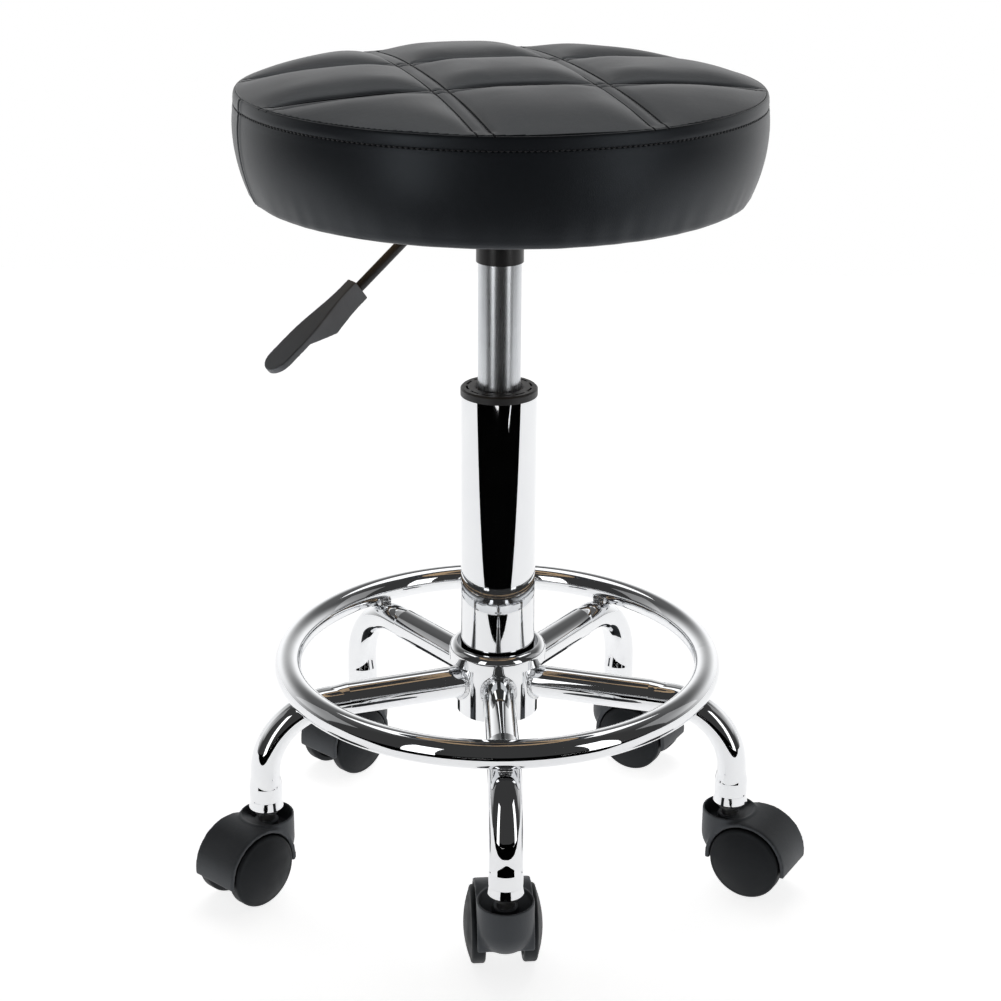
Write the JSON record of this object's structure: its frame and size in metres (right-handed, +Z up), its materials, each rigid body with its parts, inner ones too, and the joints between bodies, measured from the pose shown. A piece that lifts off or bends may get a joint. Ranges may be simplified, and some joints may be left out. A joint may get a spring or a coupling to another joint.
{
  "type": "adjustable swivel stool",
  "caption": "Round quilted black seat on a gas lift with a side lever, over a chrome five-leg base with a foot ring and hooded twin-wheel castors.",
  "frame": {"origin": "where the column axis meets the floor that the castor wheels stand on", "axes": "+Z up along the column axis; -Y towards the viewer, where one leg points; +X to the viewer's right"},
  "size_m": [0.4109, 0.3493, 0.5465],
  "materials": {
    "chrome": "polished chrome plate",
    "brushed_steel": "satin drawn steel",
    "zinc_steel": "zinc-plated",
    "black_paint": "semi-gloss powder coat",
    "black_plastic": "fine moulded grain",
    "rubber": "matte",
    "plywood": "raw birch plywood",
    "foam": "open-cell foam",
    "black_leather": "soft semi-gloss upholstery leather"
  },
  "bodies": {
    "base": {"hub": "chrome", "hub_welds": "chrome", "leg_1": "chrome", "leg_2": "chrome", "leg_3": "chrome", "leg_4": "chrome", "leg_5": "chrome", "foot_ring": "chrome", "ring_welds": "chrome", "leg_sockets": "chrome", "castor_stems": "zinc_steel", "stem_grip_rings": "zinc_steel", "column_tube": "chrome", "guide_bushing": "black_plastic", "bearing_washer_lower": "zinc_steel", "bearing_balls": "zinc_steel"},
    "lift_rod": {"bearing_washer_upper": "zinc_steel", "retaining_clip": "zinc_steel", "rubber_buffer": "rubber", "piston_rod": "zinc_steel", "piston_head": "rubber"},
    "seat": {"pressure_tube": "brushed_steel", "tube_gland": "rubber", "valve_housing": "zinc_steel", "lift_socket": "black_paint", "seat_plate": "black_paint", "plate_screws": "zinc_steel", "t_nuts": "zinc_steel", "lever_bracket": "black_paint", "pivot_pin": "zinc_steel", "seat_board": "plywood", "foam_pad": "foam", "cover_top": "black_leather", "cover_band": "black_leather", "cover_staples": "zinc_steel"},
    "lever": {"lever_rod": "black_paint", "lever_handle": "black_plastic"},
    "valve_pin": {"valve_pin": "zinc_steel"},
    "castor_1": {"hood_1": "black_plastic", "axle_1": "zinc_steel"},
    "wheel_1a": {"wheel_1a": "black_plastic"},
    "wheel_1b": {"wheel_1b": "black_plastic"},
    "castor_2": {"hood_2": "black_plastic", "axle_2": "zinc_steel"},
    "wheel_2a": {"wheel_2a": "black_plastic"},
    "wheel_2b": {"wheel_2b": "black_plastic"},
    "castor_3": {"hood_3": "black_plastic", "axle_3": "zinc_steel"},
    "wheel_3a": {"wheel_3a": "black_plastic"},
    "wheel_3b": {"wheel_3b": "black_plastic"},
    "castor_4": {"hood_4": "black_plastic", "axle_4": "zinc_steel"},
    "wheel_4a": {"wheel_4a": "black_plastic"},
    "wheel_4b": {"wheel_4b": "black_plastic"},
    "castor_5": {"hood_5": "black_plastic", "axle_5": "zinc_steel"},
    "wheel_5a": {"wheel_5a": "black_plastic"},
    "wheel_5b": {"wheel_5b": "black_plastic"}
  },
  "joints": [
    {"name": "seat_swivel", "type": "hinge", "parent": "base", "child": "lift_rod", "pos_m": [0, 0, 0.118], "axis": [0, 0, 1], "continuous": true},
    {"name": "seat_lift", "type": "slide", "parent": "lift_rod", "child": "seat", "axis": [0, 0, 1], "range_m": [-0.08, 0.06]},
    {"name": "lever_lift", "type": "hinge", "parent": "seat", "child": "lever", "pos_m": [-0.02212, -0.01549, 0.46105], "axis": [-0.5736, 0.8192, 0], "range_deg": [0, 5.2], "stiffness_Nm_per_rad": 3, "springref_deg": -1.72},
    {"name": "valve_press", "type": "slide", "parent": "seat", "child": "valve_pin", "axis": [0, 0, -1], "range_m": [0, 0.0025]},
    {"name": "castor_1_swivel", "type": "hinge", "parent": "base", "child": "castor_1", "pos_m": [0.0072, -0.16484, 0.05], "axis": [0, 0, 1], "continuous": true},
    {"name": "wheel_1a_spin", "type": "hinge", "parent": "castor_1", "child": "wheel_1a", "pos_m": [-0.01417, -0.14664, 0.025], "axis": [-0.9962, -0.0872, 0], "continuous": true},
    {"name": "wheel_1b_spin", "type": "hinge", "parent": "castor_1", "child": "wheel_1b", "pos_m": [0.02508, -0.1432, 0.025], "axis": [-0.9962, -0.0872, 0], "continuous": true},
    {"name": "castor_2_swivel", "type": "hinge", "parent": "base", "child": "castor_2", "pos_m": [0.159, -0.04409, 0.05], "axis": [0, 0, 1], "continuous": true},
    {"name": "wheel_2a_spin", "type": "hinge", "parent": "castor_2", "child": "wheel_2a", "pos_m": [0.18617, -0.03703, 0.025], "axis": [0.5, 0.866, 0], "continuous": true},
    {"name": "wheel_2b_spin", "type": "hinge", "parent": "castor_2", "child": "wheel_2b", "pos_m": [0.16647, -0.07115, 0.025], "axis": [0.5, 0.866, 0], "continuous": true},
    {"name": "castor_3_swivel", "type": "hinge", "parent": "base", "child": "castor_3", "pos_m": [0.09107, 0.13759, 0.05], "axis": [0, 0, 1], "continuous": true},
    {"name": "wheel_3a_spin", "type": "hinge", "parent": "castor_3", "child": "wheel_3a", "pos_m": [0.11824, 0.14465, 0.025], "axis": [0.5, 0.866, 0], "continuous": true},
    {"name": "wheel_3b_spin", "type": "hinge", "parent": "castor_3", "child": "wheel_3b", "pos_m": [0.09854, 0.11053, 0.025], "axis": [0.5, 0.866, 0], "continuous": true},
    {"name": "castor_4_swivel", "type": "hinge", "parent": "base", "child": "castor_4", "pos_m": [-0.10272, 0.12913, 0.05], "axis": [0, 0, 1], "continuous": true},
    {"name": "wheel_4a_spin", "type": "hinge", "parent": "castor_4", "child": "wheel_4a", "pos_m": [-0.10097, 0.10111, 0.025], "axis": [0.7547, -0.6561, 0], "continuous": true},
    {"name": "wheel_4b_spin", "type": "hinge", "parent": "castor_4", "child": "wheel_4b", "pos_m": [-0.1307, 0.12696, 0.025], "axis": [0.7547, -0.6561, 0], "continuous": true},
    {"name": "castor_5_swivel", "type": "hinge", "parent": "base", "child": "castor_5", "pos_m": [-0.15455, -0.05778, 0.05], "axis": [0, 0, 1], "continuous": true},
    {"name": "wheel_5a_spin", "type": "hinge", "parent": "castor_5", "child": "wheel_5a", "pos_m": [-0.1528, -0.0858, 0.025], "axis": [0.7547, -0.6561, 0], "continuous": true},
    {"name": "wheel_5b_spin", "type": "hinge", "parent": "castor_5", "child": "wheel_5b", "pos_m": [-0.18254, -0.05995, 0.025], "axis": [0.7547, -0.6561, 0], "continuous": true}
  ],
  "couplings": [
    {"joint": "valve_press", "follows": "lever_lift", "m_per_rad": 0.027}
  ]
}
